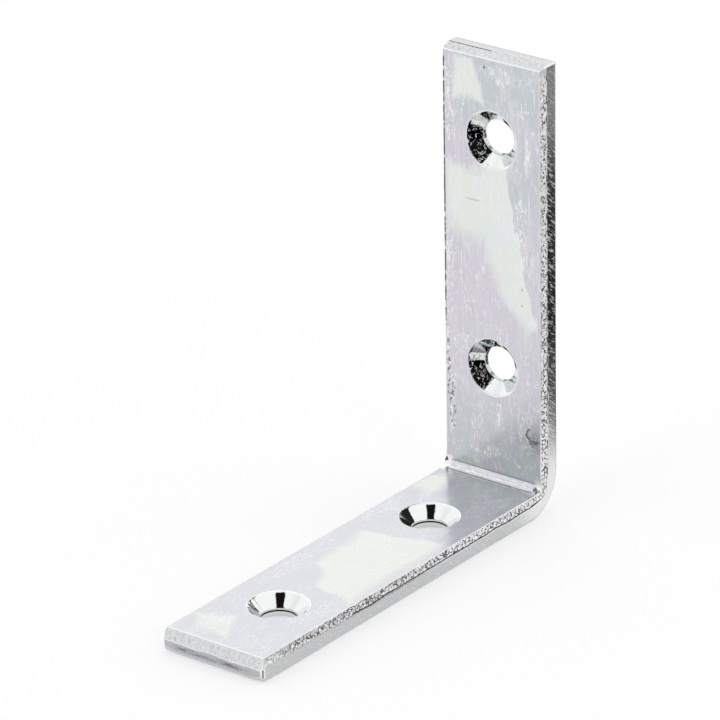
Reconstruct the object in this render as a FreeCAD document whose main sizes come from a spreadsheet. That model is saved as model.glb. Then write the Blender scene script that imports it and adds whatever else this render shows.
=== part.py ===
import FreeCAD, Part
import math
import os
import Sketcher

# An angle bracket of steel strip, sheared to length, pierced, countersunk from both faces, bent once
# through 90 degrees and zinc plated. The frame's origin is the middle of the space the bracket takes
# up, at the height of the surface that it stands on: +Z runs up the upright leg, +Y points out of
# the upright's outer face, and X runs across the strip.

NODE = "angle_bracket"
TOLERANCE = 1e-4
HOLES_PER_LEG = 2

# Driving sizes, in millimetres and degrees

SIZES = {
    # the strip and its bend
    "UprightLength": 75.0,
    "BaseLength": 75.0,
    "StripWidth": 19.0,
    "StripThickness": 4.0,
    "InnerBendRadius": 1.2,
    "HeelRadius": 7.0,
    # the screw holes: each leg's outer hole is a margin from its end, the next one a pitch further
    "HolePitch": 38.1,
    "UprightEndMargin": 13.9,
    "BaseEndMargin": 15.9,
    "HoleDiameter": 5.7,
    "CountersinkDiameter": 9.6,
    "OuterCountersinkDiameter": 8.3,
    "CountersinkAngle": 90.0,
    # the sheared edge: how deep the torn band goes, and how far it leans in over that depth
    "SideTornDepth": 1.25,
    "SideTornLean": 0.3,
    "EndTornDepth": 1.75,
    "EndTornLean": 0.6,
    "DieRollRadius": 0.45,
    # the metal that the bend squeezes out at each end of its inner corner
    "SwellRadius": 2.4,
    "SwellCrownRadius": 0.6,
    "SwellProud": 0.2,
}

doc = FreeCAD.newDocument("AngleBracket")
sheet = doc.addObject("Spreadsheet::Sheet", "Sizes")
for row, (alias, value) in enumerate(SIZES.items(), start=1):
    sheet.set(f"A{row}", alias)
    sheet.set(f"B{row}", str(value))
    sheet.setAlias(f"B{row}", alias)
doc.recompute()

body = doc.addObject("PartDesign::Body", "Bracket")
body.Label = NODE

thickness = SIZES["StripThickness"]
half_width = SIZES["StripWidth"] / 2
half_base = SIZES["BaseLength"] / 2
top = SIZES["UprightLength"]
bend = SIZES["InnerBendRadius"]
heel = SIZES["HeelRadius"]
inner_face = half_base - thickness

# Sketcher's numbers for a line's start and end, and for the level axis and origin of the sketch
START = 1
END = 2
LEVEL_AXIS = -1
SKETCH_ORIGIN = (LEVEL_AXIS, START)


def origin_feature(role):
    return next(item for item in body.Origin.OriginFeatures if item.Role == role)


def side_sketch(name):
    """A sketch on the plane that halves the strip's width: across is Y, up is Z."""
    sketch = body.newObject("Sketcher::SketchObject", name)
    sketch.AttachmentSupport = [(origin_feature("YZ_Plane"), "")]
    sketch.MapMode = "FlatFace"
    return sketch


def line(sketch, start, end):
    segment = Part.LineSegment(FreeCAD.Vector(*start, 0), FreeCAD.Vector(*end, 0))
    return sketch.addGeometry(segment, False)


def quarter_arc(sketch, centre, radius):
    """The quarter circle from straight below its centre to straight beside it, on the +Y side."""
    circle = Part.Circle(FreeCAD.Vector(*centre, 0), FreeCAD.Vector(0, 0, 1), radius)
    return sketch.addGeometry(Part.ArcOfCircle(circle, math.radians(270), math.radians(360)), False)


def tie(sketch, kind, *references):
    sketch.addConstraint(Sketcher.Constraint(kind, *references))


def drive(sketch, name, kind, references, expression):
    """A named dimension that follows the sheet."""
    value = sketch.evalExpression(expression)
    index = sketch.addConstraint(Sketcher.Constraint(kind, *references, float(value)))
    sketch.renameConstraint(index, name)
    sketch.setExpression(f"Constraints.{name}", expression)


def near(value, target):
    return abs(value - target) < TOLERANCE


def edges_where(shape, belongs):
    """Names of the edges whose ends and middle all pass the test."""
    names = []
    for number, edge in enumerate(shape.Edges, start=1):
        first, last = edge.ParameterRange
        spots = [edge.valueAt(first + (last - first) * share) for share in (0, 0.5, 1)]
        if all(belongs(spot) for spot in spots):
            names.append(f"Edge{number}")
    return names


def on_inner_face(spot):
    """On the inner face of either leg, or on the bend between them."""
    from_bend = math.hypot(spot.y - inner_face + bend, spot.z - thickness - bend)
    return near(spot.y, inner_face) or near(spot.z, thickness) or near(from_bend, bend)


def on_outer_face(spot):
    """On the outer face of either leg, or on the heel between them."""
    from_heel = math.hypot(spot.y - half_base + heel, spot.z - heel)
    return near(spot.y, half_base) or near(spot.z, 0) or near(from_heel, heel)


def on_sheared_edge(spot):
    return near(abs(spot.x), half_width) or near(spot.y, -half_base) or near(spot.z, top)


# The bent strip, from its side view

profile = side_sketch("StripProfile")
underside = line(profile, (-half_base, 0), (half_base - heel, 0))
heel_arc = quarter_arc(profile, (half_base - heel, heel), heel)
outer_face = line(profile, (half_base, heel), (half_base, top))
top_end = line(profile, (half_base, top), (inner_face, top))
upright_face = line(profile, (inner_face, top), (inner_face, thickness + bend))
bend_arc = quarter_arc(profile, (inner_face - bend, thickness + bend), bend)
base_face = line(profile, (inner_face - bend, thickness), (-half_base, thickness))
free_end = line(profile, (-half_base, thickness), (-half_base, 0))

tie(profile, "Tangent", underside, END, heel_arc, START)
tie(profile, "Tangent", heel_arc, END, outer_face, START)
tie(profile, "Tangent", upright_face, END, bend_arc, END)
tie(profile, "Tangent", bend_arc, START, base_face, START)
for first, second in (
    (outer_face, top_end),
    (top_end, upright_face),
    (base_face, free_end),
    (free_end, underside),
):
    tie(profile, "Coincident", first, END, second, START)
for edge in (underside, top_end, base_face):
    tie(profile, "Horizontal", edge)
for edge in (upright_face, free_end):
    tie(profile, "Vertical", edge)
tie(profile, "PointOnObject", underside, START, LEVEL_AXIS)
drive(profile, "half_base", "DistanceX", (underside, START, *SKETCH_ORIGIN), "Sizes.BaseLength / 2")
drive(profile, "base_length", "DistanceX", (underside, START, outer_face, END), "Sizes.BaseLength")
drive(profile, "upright_length", "DistanceY", (underside, START, outer_face, END),
      "Sizes.UprightLength")
drive(profile, "upright_thickness", "DistanceX", (top_end, END, top_end, START),
      "Sizes.StripThickness")
drive(profile, "base_thickness", "DistanceY", (free_end, END, free_end, START),
      "Sizes.StripThickness")
drive(profile, "heel_radius", "Radius", (heel_arc,), "Sizes.HeelRadius")
drive(profile, "bend_radius", "Radius", (bend_arc,), "Sizes.InnerBendRadius")

strip = body.newObject("PartDesign::Pad", "BentStrip")
strip.Profile = profile
strip.SideType = "Symmetric"
strip.setExpression("Length", "Sizes.StripWidth")
doc.recompute()

# The torn band of the sheared edge, next to the inner face, all round the strip


def torn_band(name, base, belongs, lean, depth):
    """A chamfer that takes lean off the inner face and depth off the sheared one."""
    names = edges_where(base.Shape, lambda spot: on_inner_face(spot) and belongs(spot))
    first_edge = base.Shape.getElement(names[0])
    first_face = base.Shape.ancestorsOfType(first_edge, Part.Face)[0]
    band = body.newObject("PartDesign::Chamfer", name)
    band.Base = (base, names)
    band.ChamferType = "Two distances"
    band.FlipDirection = not on_inner_face(first_face.CenterOfMass)
    band.setExpression("Size", lean)
    band.setExpression("Size2", depth)
    doc.recompute()
    return band


bracket = torn_band("BaseEndTear", strip, lambda spot: near(spot.y, -half_base),
                    "Sizes.EndTornLean", "Sizes.EndTornDepth")
bracket = torn_band("UprightEndTear", bracket, lambda spot: near(spot.z, top),
                    "Sizes.EndTornLean", "Sizes.EndTornDepth")
bracket = torn_band("LeftTear", bracket, lambda spot: near(spot.x, -half_width),
                    "Sizes.SideTornLean", "Sizes.SideTornDepth")
bracket = torn_band("RightTear", bracket, lambda spot: near(spot.x, half_width),
                    "Sizes.SideTornLean", "Sizes.SideTornDepth")

# The die roll, where the shear first drew the outer face's edge down, all round the strip

die_roll = body.newObject("PartDesign::Fillet", "DieRoll")
rolled = edges_where(bracket.Shape, lambda spot: on_outer_face(spot) and on_sheared_edge(spot))
die_roll.Base = (bracket, rolled)
die_roll.setExpression("Radius", "Sizes.DieRollRadius")
doc.recompute()

# The swelling at each end of the bend's inner corner, which stands proud of the sheared side

swell = body.newObject("PartDesign::AdditiveCone", "BendSwell")
swell.AttachmentSupport = [(origin_feature("YZ_Plane"), "")]
swell.MapMode = "FlatFace"
swell.setExpression("Radius1", "Sizes.SwellRadius")
swell.setExpression("Radius2", "Sizes.SwellCrownRadius")
swell.setExpression("Height", "Sizes.SideTornLean + Sizes.SwellProud")
swell.setExpression("AttachmentOffset.Base.x", "Sizes.BaseLength / 2 - Sizes.StripThickness")
swell.setExpression("AttachmentOffset.Base.y", "Sizes.StripThickness")
swell.setExpression("AttachmentOffset.Base.z", "Sizes.StripWidth / 2 - Sizes.SideTornLean")
doc.recompute()
swells = body.newObject("PartDesign::Mirrored", "BendSwells")
swells.Originals = [swell]
swells.MirrorPlane = (origin_feature("YZ_Plane"), [""])
body.Tip = swells
doc.recompute()

# The part of each swelling that would hang in the air inside the bend is trimmed off again

reach = 2 * SIZES["SwellRadius"]
trim_profile = side_sketch("TrimProfile")
trim_upright = line(trim_profile, (inner_face, thickness + reach), (inner_face, thickness + bend))
trim_arc = quarter_arc(trim_profile, (inner_face - bend, thickness + bend), bend)
trim_base = line(trim_profile, (inner_face - bend, thickness), (inner_face - reach, thickness))
trim_left = line(trim_profile, (inner_face - reach, thickness),
                 (inner_face - reach, thickness + reach))
trim_top = line(trim_profile, (inner_face - reach, thickness + reach),
                (inner_face, thickness + reach))
tie(trim_profile, "Tangent", trim_upright, END, trim_arc, END)
tie(trim_profile, "Tangent", trim_arc, START, trim_base, START)
tie(trim_profile, "Coincident", trim_base, END, trim_left, START)
tie(trim_profile, "Coincident", trim_left, END, trim_top, START)
tie(trim_profile, "Coincident", trim_top, END, trim_upright, START)
tie(trim_profile, "Horizontal", trim_base)
tie(trim_profile, "Horizontal", trim_top)
tie(trim_profile, "Vertical", trim_upright)
tie(trim_profile, "Vertical", trim_left)
drive(trim_profile, "bend_radius", "Radius", (trim_arc,), "Sizes.InnerBendRadius")
drive(trim_profile, "across", "DistanceX", (*SKETCH_ORIGIN, trim_upright, START),
      "Sizes.BaseLength / 2 - Sizes.StripThickness")
drive(trim_profile, "up", "DistanceY", (*SKETCH_ORIGIN, trim_base, END), "Sizes.StripThickness")
drive(trim_profile, "width", "DistanceX", (trim_top, START, trim_top, END),
      "2 * Sizes.SwellRadius")
drive(trim_profile, "height", "DistanceY", (trim_left, START, trim_left, END),
      "2 * Sizes.SwellRadius")

trim = body.newObject("PartDesign::Pocket", "SwellTrim")
trim.Profile = trim_profile
trim.SideType = "Symmetric"
trim.setExpression("Length", "2 * Sizes.StripWidth")
doc.recompute()

# The screw holes, each cut by turning one profile about the hole's axis, and repeated a pitch
# nearer the bend. The profile's own origin is where that axis meets the inner face, with depth
# across and radius up.


def countersunk_holes(name, across, up, turn, direction, backwards):
    """The first hole's spot on the side plane, the turn of its profile there, and the way on."""
    slope = math.tan(math.radians(SIZES["CountersinkAngle"] / 2))
    hole = SIZES["HoleDiameter"] / 2
    mouth = SIZES["CountersinkDiameter"] / 2
    outer_mouth = SIZES["OuterCountersinkDiameter"] / 2
    land_start = (mouth - hole) / slope
    land_end = thickness - (outer_mouth - hole) / slope

    cutter = side_sketch(f"{name}Profile")
    cutter.AttachmentOffset = FreeCAD.Placement(FreeCAD.Vector(),
                                                FreeCAD.Rotation(FreeCAD.Vector(0, 0, 1), turn))
    cutter.setExpression("AttachmentOffset.Base.x", across)
    cutter.setExpression("AttachmentOffset.Base.y", up)
    corners = [(0, 0), (0, mouth), (land_start, hole), (land_end, hole), (thickness, outer_mouth),
               (thickness, 0)]
    sides = [line(cutter, *ends) for ends in zip(corners, corners[1:] + corners[:1])]
    inner_mouth, cone, land, outer_cone, outer_disc, on_axis = sides
    for first, second in zip(sides, sides[1:] + sides[:1]):
        tie(cutter, "Coincident", first, END, second, START)
    tie(cutter, "Coincident", inner_mouth, START, *SKETCH_ORIGIN)
    tie(cutter, "Vertical", inner_mouth)
    tie(cutter, "Vertical", outer_disc)
    tie(cutter, "Horizontal", land)
    tie(cutter, "Horizontal", on_axis)
    drive(cutter, "mouth", "DistanceY", (*SKETCH_ORIGIN, inner_mouth, END),
          "Sizes.CountersinkDiameter / 2")
    drive(cutter, "hole", "DistanceY", (*SKETCH_ORIGIN, land, START), "Sizes.HoleDiameter / 2")
    drive(cutter, "outer_mouth", "DistanceY", (*SKETCH_ORIGIN, outer_cone, END),
          "Sizes.OuterCountersinkDiameter / 2")
    drive(cutter, "thickness", "DistanceX", (*SKETCH_ORIGIN, outer_disc, START),
          "Sizes.StripThickness")
    drive(cutter, "land_start", "DistanceX", (*SKETCH_ORIGIN, land, START),
          "(Sizes.CountersinkDiameter - Sizes.HoleDiameter) / 2 "
          "/ tan(Sizes.CountersinkAngle * 1deg / 2)")
    drive(cutter, "land_end", "DistanceX", (*SKETCH_ORIGIN, land, END),
          "Sizes.StripThickness - (Sizes.OuterCountersinkDiameter - Sizes.HoleDiameter) / 2 "
          "/ tan(Sizes.CountersinkAngle * 1deg / 2)")
    doc.recompute()

    first_hole = body.newObject("PartDesign::Groove", name)
    first_hole.Profile = cutter
    first_hole.ReferenceAxis = (cutter, ["H_Axis"])
    doc.recompute()
    row = body.newObject("PartDesign::LinearPattern", f"{name}s")
    row.Originals = [first_hole]
    row.Direction = (origin_feature(direction), [""])
    row.Reversed = backwards
    row.Occurrences = HOLES_PER_LEG
    row.setExpression("Length", "Sizes.HolePitch")
    body.Tip = row
    doc.recompute()


countersunk_holes("UprightHole",
                  across="Sizes.BaseLength / 2 - Sizes.StripThickness",
                  up="Sizes.UprightLength - Sizes.UprightEndMargin",
                  turn=0, direction="Z_Axis", backwards=True)
countersunk_holes("BaseHole",
                  across="Sizes.BaseEndMargin - Sizes.BaseLength / 2",
                  up="Sizes.StripThickness",
                  turn=-90, direction="Y_Axis", backwards=False)

# Checks, and the file of the one piece

for item in doc.Objects:
    if "Invalid" in item.State or "Error" in item.State:
        raise RuntimeError(f"{item.Name} did not build: {item.State}")
shape = body.Shape
if shape.isNull() or not shape.isValid() or len(shape.Solids) != 1:
    raise RuntimeError(f"{NODE} is not one valid solid")

os.makedirs("parts", exist_ok=True)
shape.exportStep(f"parts/{NODE}.step")
size = shape.optimalBoundingBox()
print(f"{NODE}: {size.XLength:.2f} x {size.YLength:.2f} x {size.ZLength:.2f} mm,"
      f" {shape.Volume:.1f} cubic mm, {len(shape.Faces)} faces")
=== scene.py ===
import math

import bmesh
import bpy
import numpy as np
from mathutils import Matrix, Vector, geometry, noise


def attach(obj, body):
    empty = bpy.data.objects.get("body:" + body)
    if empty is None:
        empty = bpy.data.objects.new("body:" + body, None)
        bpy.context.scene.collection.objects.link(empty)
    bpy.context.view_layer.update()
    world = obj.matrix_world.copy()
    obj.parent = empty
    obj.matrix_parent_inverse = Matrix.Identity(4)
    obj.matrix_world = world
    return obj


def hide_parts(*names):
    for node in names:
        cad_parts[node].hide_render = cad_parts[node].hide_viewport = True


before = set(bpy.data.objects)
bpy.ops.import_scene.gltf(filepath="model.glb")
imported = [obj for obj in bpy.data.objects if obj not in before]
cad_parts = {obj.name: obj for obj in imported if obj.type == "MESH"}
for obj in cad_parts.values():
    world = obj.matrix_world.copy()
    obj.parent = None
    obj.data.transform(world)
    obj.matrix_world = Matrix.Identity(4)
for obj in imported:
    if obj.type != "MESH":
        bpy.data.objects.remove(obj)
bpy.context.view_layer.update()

# The blank: a length of 19 x 4 mm steel strip with sheared edges and barely rounded corners. All of
# it is laid out flat, as it is made, and then bent. A point of the blank is how far it lies along
# the strip from the base's free end, across it, and up from its outer face, in millimetres.

MM = 0.001
HALF_WIDTH = 9.5
THICKNESS = 4.0
LEG = 75.0
HALF_BASE = LEG / 2
STRAIGHT = 65.5
BEND_LENGTH = 13.2
BLANK_LENGTH = 2 * STRAIGHT + BEND_LENGTH
MID_BEND = BLANK_LENGTH / 2
CORNER_RADIUS = 0.35
LEAST_RADIUS = 0.05
EDGE_STEP = 0.16
CORNER_STEPS = 6
LONG_STEPS = round(BLANK_LENGTH / EDGE_STEP)
SHORT_STEPS = round(2 * HALF_WIDTH / EDGE_STEP)


def outline(side_offset, end_offset):
    """The blank's outline, grown or shrunk, as points that keep their number and order."""
    half = HALF_WIDTH + side_offset
    radius = max(CORNER_RADIUS + (side_offset + end_offset) / 2, LEAST_RADIUS)
    first, last = -end_offset, BLANK_LENGTH + end_offset
    corners = (
        (last - radius, half - radius, 0),
        (first + radius, half - radius, 90),
        (first + radius, radius - half, 180),
        (last - radius, radius - half, 270),
    )
    points = []
    for number, (along, across, turn) in enumerate(corners):
        for step in range(CORNER_STEPS + 1):
            angle = math.radians(turn + 90 * step / CORNER_STEPS)
            points.append((along + radius * math.cos(angle), across + radius * math.sin(angle)))
        following = corners[(number + 1) % 4]
        angle = math.radians(turn + 90)
        start = np.array(points[-1])
        end = np.array((following[0] + radius * math.cos(angle),
                        following[1] + radius * math.sin(angle)))
        steps = LONG_STEPS if number % 2 == 0 else SHORT_STEPS
        points += [tuple(start + (end - start) * step / steps) for step in range(1, steps)]
    return np.array(points)


rim = outline(0, 0)
RIM_COUNT = len(rim)
rim_ahead = np.roll(rim, -1, axis=0) - np.roll(rim, 1, axis=0)
rim_out = np.stack([rim_ahead[:, 1], -rim_ahead[:, 0]], axis=1)
rim_out /= np.linalg.norm(rim_out, axis=1)[:, None]
rim_walk = np.concatenate([[0], np.cumsum(np.linalg.norm(np.diff(rim, axis=0), axis=1))])
end_share = np.abs(rim_out[:, 0]) ** 2
from_bend = np.abs(rim[:, 0] - MID_BEND)
zeros = np.zeros(RIM_COUNT)

# The sheared edge, as the press leaves it: the die roll on the outer face, the smooth band that the
# blade cut, and towards the inner face the torn band, which leans in and is pitted. Where the tear
# starts there is a fine crack, deeper along the base and on the left of the top end.

DIE_ROLL = 0.45
END_ROLL = 0.25
CORNER_ROLL = 0.45
CORNER_ROLL_REACH = 1.6
ROLL_ROWS = 6
SMOOTH_ROWS = 5
TORN_ROWS = 11
BURR_ROWS = 3
SIDE_TORN_DEPTH = 1.25
END_TORN_DEPTH = 1.75
SIDE_LEAN = 0.3
END_LEAN = 0.6
BURR = 0.14
CRACK_WIDTH = 0.2
HAIR_CRACK = 0.02
OPEN_CRACK = 0.1
BASE_CRACK_START = 12.0
BASE_CRACK_GROWTH = 45.0
BASE_CRACK_DEPTH = 0.34
UPRIGHT_CRACK_DEPTH = 0.3
TOP_CRACK_START = 0.8
TOP_CRACK_GROWTH = 2.5
TOP_CRACK_DEPTH = 0.2
END_RIDGE = 0.06
PIT_DEPTH = 0.10
STEP_DEPTH = 0.12
TORN_SETBACK = 0.05
SWAY_DEPTH = 0.05
CRACK_UNEVEN = 0.02
SWELL_PROUD = 0.2
SWELL_FULLNESS = 0.85
SWELL_REACH = 1.7
SWELL_START = 1.3
SWELL_LEAN_START = 2.6


def rough(walk, height, wave, seed):
    """Smooth random values between -1 and 1 along a strip edge, a wave long."""
    return np.array([noise.noise(Vector((a / wave, b / wave, seed))) for a, b in zip(walk, height)])


torn_depth = SIDE_TORN_DEPTH + (END_TORN_DEPTH - SIDE_TORN_DEPTH) * end_share
torn_depth += 0.16 * rough(rim_walk, zeros, 4.0, 1.0)
torn_depth += 0.07 * rough(rim_walk, zeros, 0.9, 2.0)
tear_start = THICKNESS - torn_depth

base_crack = np.clip((rim[:, 0] - BASE_CRACK_START) / BASE_CRACK_GROWTH, 0, 1)
base_crack *= rim[:, 0] < MID_BEND
upright_crack = np.clip(rough(rim_walk, zeros, 1.6, 15.0) + 0.1, 0, 1)
upright_crack *= rim[:, 0] > MID_BEND - 1
top_crack = np.clip((TOP_CRACK_START - rim[:, 1]) / TOP_CRACK_GROWTH, 0, 1)
top_crack *= rim[:, 0] > BLANK_LENGTH - 1
side_crack = HAIR_CRACK + BASE_CRACK_DEPTH * base_crack + UPRIGHT_CRACK_DEPTH * upright_crack
crack_depth = side_crack * (1 - end_share) + (TOP_CRACK_DEPTH * top_crack - END_RIDGE) * end_share
crack_depth *= 1 + 0.6 * rough(rim_walk, zeros, 3.0, 3.0)

at_base_end = rim[:, 0] < MID_BEND
from_end = np.minimum(rim[:, 0], BLANK_LENGTH - rim[:, 0])
from_corner = np.hypot(from_end, HALF_WIDTH - np.abs(rim[:, 1]))
corner_roll = CORNER_ROLL * np.exp(-(from_corner / CORNER_ROLL_REACH) ** 2)
roll = DIE_ROLL + at_base_end * (END_ROLL * end_share + corner_roll)

# every row of the edge: its band, its height, and how far it stands out at the sides and the ends
rows = []
for step in range(ROLL_ROWS + 1):
    angle = math.pi / 2 * step / ROLL_ROWS
    inward = roll * (1 - math.sin(angle))
    rows.append(("roll", roll * (1 - math.cos(angle)), -inward, -inward))
for step in range(1, SMOOTH_ROWS + 1):
    height = roll + (tear_start - CRACK_WIDTH - roll) * step / SMOOTH_ROWS
    rows.append(("smooth", height, zeros, zeros))
for below_tear, opened in ((0.55, 1.0), (0.15, 0.9)):
    rows.append(("crack", tear_start - below_tear * CRACK_WIDTH,
                 -crack_depth * opened, -crack_depth * opened))
for step in range(TORN_ROWS + 1):
    share = step / TORN_ROWS
    height = tear_start + (torn_depth - BURR) * share
    rows.append(("torn", height, zeros - SIDE_LEAN * share, zeros - END_LEAN * share))
for step in range(1, BURR_ROWS + 1):
    angle = math.pi / 2 * step / BURR_ROWS
    inward = BURR * (1 - math.cos(angle))
    rows.append(("burr", zeros + THICKNESS - BURR * (1 - math.sin(angle)),
                 zeros - SIDE_LEAN - inward, zeros - END_LEAN - inward))


def torn_relief(height):
    """How far the pits and steps of the torn band stand out, fading at both its borders."""
    share = np.clip((height - tear_start) / torn_depth, 0, 1)
    fade = np.minimum(share * 6, 1) * np.clip((THICKNESS - height) / 0.35, 0.25, 1)
    pits = rough(rim_walk, height, 0.55, 10.0) + 0.6 * rough(rim_walk, height, 0.3, 11.0)
    steps = rough(rim_walk + height * 0.3, height * 0.3, 0.8, 12.0)
    relief = fade * (PIT_DEPTH * pits + STEP_DEPTH * steps - TORN_SETBACK) * (1 - 0.4 * end_share)
    return relief + SWAY_DEPTH * rough(rim_walk, zeros, 1.3, 13.0) * share


def swelling(height):
    """How far the strip's inner half is squeezed out sideways by the bend."""
    deep = np.clip((height - SWELL_START) / (THICKNESS - SWELL_START), 0, 1)
    lean = np.clip((height - SWELL_LEAN_START) / (THICKNESS - SWELL_LEAN_START), 0, 1)
    swell = np.exp(-(from_bend / SWELL_REACH) ** 2) * deep ** 1.5
    return (SWELL_PROUD + SIDE_LEAN * lean) * swell * SWELL_FULLNESS


edge_rows = []
for band, height, side, end in rows:
    least = outline(side.min(), end.min())
    most = outline(side.max(), end.max())
    side_range = max(np.ptp(side), 1e-6)
    placed = least + (most - least) * ((side - side.min()) / side_range)[:, None]
    extra = swelling(height)
    if band in ("torn", "burr"):
        extra = extra + torn_relief(height)
    if band == "crack":
        extra = extra + CRACK_UNEVEN * rough(rim_walk, height, 0.4, 14.0)
    placed = placed + rim_out * extra[:, None]
    placed[:, 0] = np.clip(placed[:, 0], 0, BLANK_LENGTH)
    edge_rows.append(np.column_stack([placed, height]))
ROWS = len(edge_rows)
vertices = np.concatenate(edge_rows)

faces = []
finishes = []
FLAT, SMOOTH, TORN, CONE, EDGE_AND_HIGHLIGHT, CRACK_AND_SHADE = range(6)
finish_of = {"roll": FLAT, "smooth": SMOOTH, "crack": TORN, "torn": TORN, "burr": EDGE_AND_HIGHLIGHT}


def quad(near, far, number, count):
    """The face between two rings of points, from one number to the next."""
    after = (number + 1) % count
    return near + number, near + after, far + after, far + number


def edge_finish(band, number):
    """The finish of the sheared edge in a band, at a point of the rim, with painted light at the
    corners.
    """
    # a painted highlight on the blank's rounded corners, in the bright edge finish
    corner = 0.03 < end_share[number] < 0.97 and band != "roll"
    # painted shade down the middle of the smooth band at the base's two end corners, in the crack's
    # dark finish
    core = at_base_end[number] and 0.2 < end_share[number] < 0.6 and band == "smooth"
    if (band == "crack" and crack_depth[number] > OPEN_CRACK) or (corner and core):
        return CRACK_AND_SHADE
    # a painted highlight along the ridge at the base's end, in the bright edge finish
    ridge = band == "crack" and at_base_end[number] and end_share[number] > 0.5
    return EDGE_AND_HIGHLIGHT if ridge or corner else finish_of[band]


for row in range(1, ROWS):
    for number in range(RIM_COUNT):
        faces.append(quad((row - 1) * RIM_COUNT, row * RIM_COUNT, number, RIM_COUNT))
        finishes.append(edge_finish(rows[row][0], number))

# The four screw holes, each pierced, then countersunk deeply from the inner face and lightly from
# the outer one. The tools leave a fine break at every mouth. The base's holes are placed from its
# middle, and the upright's from the bracket's underside.

HOLE_RADIUS = 2.85
MOUTH_RADIUS = 4.8
OUTER_MOUTH_RADIUS = 4.15
MOUTH_BREAK = 0.13
LAND_BREAK = 0.06
LAND_EASE = 0.02
AROUND = 144
BASE_HOLES = (-21.6, 16.5)
UPRIGHT_HOLES = (23.0, 61.1)
hole_spots = [HALF_BASE + hole for hole in BASE_HOLES]
hole_spots += [BLANK_LENGTH - LEG + hole for hole in UPRIGHT_HOLES]


def hole_rings():
    """Radius, height and finish of every ring of a hole, from the inner face to the outer one."""
    inner_land = THICKNESS - (MOUTH_RADIUS - HOLE_RADIUS)
    outer_land = OUTER_MOUTH_RADIUS - HOLE_RADIUS
    rings = [(MOUTH_RADIUS + MOUTH_BREAK, THICKNESS, FLAT),
             (MOUTH_RADIUS + 0.4 * MOUTH_BREAK, THICKNESS - 0.2 * MOUTH_BREAK, EDGE_AND_HIGHLIGHT),
             (MOUTH_RADIUS - 0.3 * MOUTH_BREAK, THICKNESS - 0.7 * MOUTH_BREAK, EDGE_AND_HIGHLIGHT)]
    for share in np.linspace(0.04, 0.96, 8):
        rings.append((MOUTH_RADIUS + (HOLE_RADIUS - MOUTH_RADIUS) * share,
                      THICKNESS + (inner_land - THICKNESS) * share, CONE))
    rings.append((HOLE_RADIUS + LAND_EASE, inner_land, CONE))
    rings.append((HOLE_RADIUS, inner_land - LAND_BREAK, CONE))
    rings.append((HOLE_RADIUS, outer_land + LAND_BREAK, CONE))
    rings.append((HOLE_RADIUS + LAND_EASE, outer_land, CONE))
    for share in np.linspace(0.06, 0.94, 5):
        rings.append((HOLE_RADIUS + (OUTER_MOUTH_RADIUS - HOLE_RADIUS) * share,
                      outer_land * (1 - share), CONE))
    rings.append((OUTER_MOUTH_RADIUS + 0.3 * MOUTH_BREAK, 0.7 * MOUTH_BREAK, FLAT))
    rings.append((OUTER_MOUTH_RADIUS + MOUTH_BREAK, 0, FLAT))
    return rings


inner_loops = []
outer_loops = []
turns = np.linspace(0, 2 * math.pi, AROUND, endpoint=False)
for hole_spot in hole_spots:
    rings = hole_rings()
    start = len(vertices)
    for radius, height, _ in rings:
        vertices = np.concatenate([vertices, np.column_stack([
            hole_spot + radius * np.cos(turns), radius * np.sin(turns), np.full(AROUND, height)])])
    for ring in range(1, len(rings)):
        near = start + (ring - 1) * AROUND
        for number in range(AROUND):
            faces.append(quad(near, near + AROUND, number, AROUND))
            finishes.append(rings[ring][2])
    inner_loops.append(list(range(start, start + AROUND)))
    outer_loops.append(list(range(start + (len(rings) - 1) * AROUND, start + len(rings) * AROUND)))

# The two broad faces of the strip, flat as they come from the rolling mill. They are spread between
# the rim and the holes, and finely divided where they will bend.

GRID = 1.0
BEND_GRID = 0.12
COLUMN_GRID = 0.95
COLUMNS_EACH_SIDE = 8
LEG_ROW_START = 1.2
LEG_ROW_END = STRAIGHT - 1.0
BEND_MARGIN = 0.6
HOLE_CLEARANCE = 0.5
inner_rim = list(range((ROWS - 1) * RIM_COUNT, ROWS * RIM_COUNT))
outer_rim = list(range(RIM_COUNT))
columns = np.arange(-COLUMNS_EACH_SIDE, COLUMNS_EACH_SIDE + 1) * COLUMN_GRID
leg_rows = np.arange(LEG_ROW_START, LEG_ROW_END, GRID)
bend_rows = np.arange(STRAIGHT - BEND_MARGIN, STRAIGHT + BEND_LENGTH + BEND_MARGIN, BEND_GRID)
grid_rows = np.concatenate([leg_rows, bend_rows, BLANK_LENGTH - leg_rows])
grid = [(along, across) for along in grid_rows for across in columns
        if all(math.hypot(along - spot, across) > MOUTH_RADIUS + HOLE_CLEARANCE
               for spot in hole_spots)]


def spread(points, height, hole_radius, loops):
    """All the points with a face of the blank added, which fills the rim outside the holes."""
    start = len(points)
    points = np.concatenate([points, [(along, across, height) for along, across in grid]])
    numbers = [number for loop in loops for number in loop] + list(range(start, len(points)))
    edges = []
    count = 0
    for loop in loops:
        edges += [(count + step, count + (step + 1) % len(loop)) for step in range(len(loop))]
        count += len(loop)
    spots = [Vector(points[number][:2]) for number in numbers]
    result = geometry.delaunay_2d_cdt(spots, edges, [], 1, 1e-7)
    origins = [found[0] for found in result[3]]
    for triangle in result[2]:
        centre = sum((result[0][corner] for corner in triangle), Vector((0, 0))) / 3
        if all(math.hypot(centre.x - spot, centre.y) > hole_radius for spot in hole_spots):
            faces.append(tuple(numbers[origins[corner]] for corner in triangle))
            finishes.append(FLAT)
    return points


first_broad = len(faces)
vertices = spread(vertices, THICKNESS, MOUTH_RADIUS + MOUTH_BREAK, [inner_rim, *inner_loops])
vertices = spread(vertices, 0.0, OUTER_MOUTH_RADIUS + MOUTH_BREAK, [outer_rim, *outer_loops])

# The bend: the blank is folded once through 90 degrees, which leaves a small radius inside and
# draws the heel out thin and round. The tool leaves a shallow crease on each side of the corner
# and a fainter one down its middle.

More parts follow.
